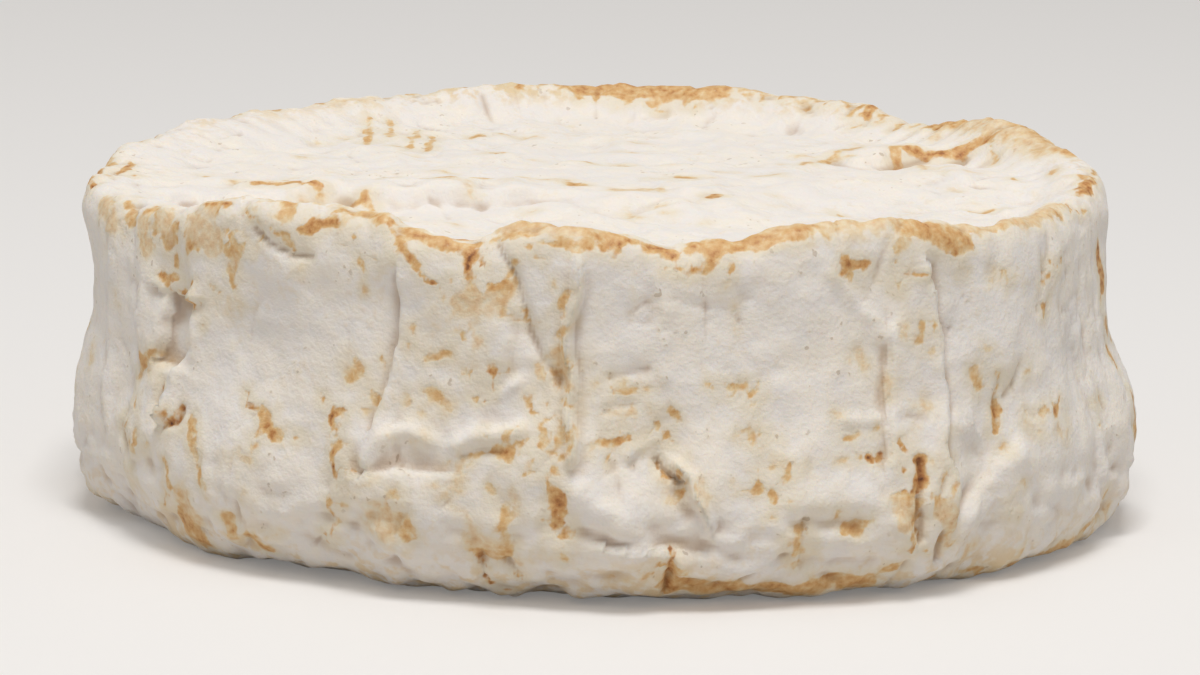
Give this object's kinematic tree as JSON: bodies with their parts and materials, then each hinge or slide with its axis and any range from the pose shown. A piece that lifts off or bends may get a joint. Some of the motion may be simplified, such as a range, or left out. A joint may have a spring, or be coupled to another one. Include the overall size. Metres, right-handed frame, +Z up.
{
  "type": "camembert cheese",
  "caption": "Whole uncut camembert: a round soft cheese with a swollen foot, a wavy rim, a sunken top and a folded white rind worn tan along the rim.",
  "frame": {"origin": "centre of the cheese's box at the flat base it rests on", "axes": "+Z up through the sunken top face, -Y towards the front, +X to the right seen from the front"},
  "size_m": [0.1104, 0.1104, 0.0378],
  "materials": {
    "rind": "dry, chalky and matte"
  },
  "bodies": {
    "root": {"camembert": "rind"}
  },
  "joints": []
}
